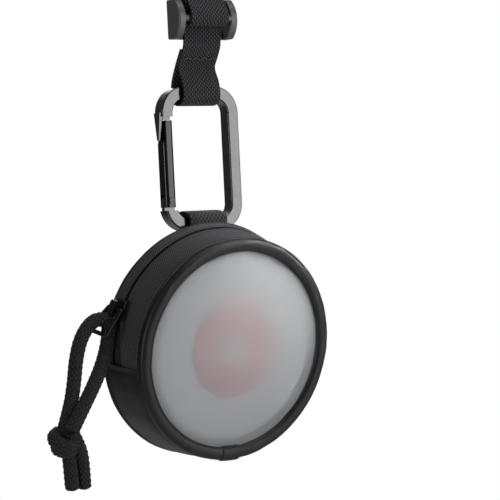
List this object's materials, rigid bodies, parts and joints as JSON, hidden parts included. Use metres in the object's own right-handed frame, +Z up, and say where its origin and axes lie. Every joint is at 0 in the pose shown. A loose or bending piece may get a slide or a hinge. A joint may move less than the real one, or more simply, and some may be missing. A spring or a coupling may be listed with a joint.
{
  "type": "pager",
  "caption": "Round call pager in a zipped clear-window pouch, hung from a rectangular carabiner on a short webbing neck strap.",
  "frame": {"origin": "underside of the neck strap's crown, where a hook, peg or neck carries it", "axes": "+Z up along the hanging lanyard, +Y to the back, +X to the right as seen from the front"},
  "size_m": [0.0997, 0.0456, 0.3299],
  "materials": {
    "webbing": "flat-woven black polyester webbing",
    "thread": "bar-tacked black thread",
    "slider_plastic": "satin dark grey moulded plastic",
    "gunmetal": "glossy gunmetal plating",
    "dark_metal": "glossy black plating",
    "black_metal": "gloss black enamel",
    "spring_steel": "bright steel",
    "leather": "fine-grained black coated leather",
    "board_stiffener": "plain fibre sheet",
    "lining": "plain black lining cloth",
    "zip_tape": "black twill zip tape",
    "zip_coil": "black nylon coil",
    "clear_film": "clear glossy film",
    "cord": "braided black cord",
    "white_plastic": "white moulded plastic, fine satin",
    "pink_plastic": "coral pink moulded plastic",
    "print": "white raised sign",
    "switch_black": "black moulding",
    "switch_metal": "tinned steel",
    "seal_rubber": "soft black rubber",
    "board_green": "green solder mask",
    "led_lens": "clear red lens",
    "cell_steel": "bright steel can"
  },
  "bodies": {
    "lanyard": {"neck_strap": "webbing", "loop_webbing": "webbing", "loop_stitching": "thread"},
    "strap_slider": {"strap_slider": "slider_plastic", "strap_end_fold": "webbing", "end_tack": "thread"},
    "carabiner": {"carabiner_frame": "gunmetal", "gate_rivet": "dark_metal"},
    "gate": {"gate": "dark_metal", "gate_spring": "spring_steel", "gate_plunger": "spring_steel"},
    "pouch": {"rear_panel": "leather", "rear_binding": "leather", "rear_stiffener": "board_stiffener", "rear_lining": "lining", "bottom_gusset": "leather", "rear_zip_tape": "zip_tape", "rear_zip_coil": "zip_coil", "zip_stops": "dark_metal", "hang_tab": "webbing", "tab_stitches": "thread", "pager_front_shell": "white_plastic", "pager_rear_shell": "white_plastic", "seal_ring": "seal_rubber", "circuit_board": "board_green", "board_chips": "switch_black", "tact_switch": "switch_metal", "status_led": "led_lens", "wire_antenna": "spring_steel", "battery_holder": "switch_black", "battery_contact": "switch_metal", "coin_cell": "cell_steel", "battery_cover": "white_plastic", "shell_screws": "spring_steel"},
    "call_button": {"call_button": "pink_plastic", "button_symbol": "print", "switch_plunger": "switch_black"},
    "front_cover": {"front_binding": "leather", "window_film": "clear_film", "front_zip_tape": "zip_tape", "front_zip_coil": "zip_coil"},
    "zip_slider": {"zip_slider": "black_metal"},
    "pull_bail": {"pull_bail": "black_metal"},
    "pull": {"pull_cord": "cord", "pull_knot": "cord", "pull_tails": "cord"}
  },
  "joints": [
    {"name": "strap_adjust", "type": "slide", "parent": "lanyard", "child": "strap_slider", "axis": [0, 0, 1], "range_m": [0, 0.02], "deforming": ["neck_strap", "loop_webbing"]},
    {"name": "carabiner_swing", "type": "hinge", "parent": "lanyard", "child": "carabiner", "pos_m": [0, 0.0006, -0.2087], "axis": [1, 0, 0], "range_deg": [-40, 40]},
    {"name": "gate_open", "type": "hinge", "parent": "carabiner", "child": "gate", "pos_m": [-0.01235, 0.0006, -0.2423], "axis": [0, 1, 0], "range_deg": [0, 30], "stiffness_Nm_per_rad": 0.02, "springref_deg": -20.05},
    {"name": "pouch_swing", "type": "hinge", "parent": "carabiner", "child": "pouch", "pos_m": [0, 0.0006, -0.2502], "axis": [1, 0, 0], "range_deg": [-35, 60]},
    {"name": "cover_open", "type": "hinge", "parent": "pouch", "child": "front_cover", "pos_m": [0, -0.00621, -0.3228], "axis": [1, 0, 0], "range_deg": [0, 20]},
    {"name": "zip_travel", "type": "hinge", "parent": "pouch", "child": "zip_slider", "pos_m": [0, -0.00198, -0.28714], "axis": [0, 0.9816, 0.1908], "range_deg": [0, 180]},
    {"name": "bail_turn", "type": "hinge", "parent": "zip_slider", "child": "pull_bail", "pos_m": [-0.03683, -0.0044, -0.27469], "axis": [0, 0.9816, 0.1908], "range_deg": [0, 120]},
    {"name": "pull_swing", "type": "hinge", "parent": "pull_bail", "child": "pull", "pos_m": [-0.0425, -0.00307, -0.28155], "axis": [0, 0.9816, 0.1908], "range_deg": [-4, 45]},
    {"name": "call_press", "type": "slide", "parent": "pouch", "child": "call_button", "axis": [0, 0.9816, 0.1908], "range_m": [0, 0.0005], "stiffness_N_per_m": 2000, "springref_m": -0.0005}
  ],
  "couplings": [
    {"joint": "zip_travel", "follows": "cover_open", "ratio": 9},
    {"joint": "bail_turn", "follows": "cover_open", "ratio": 6}
  ]
}
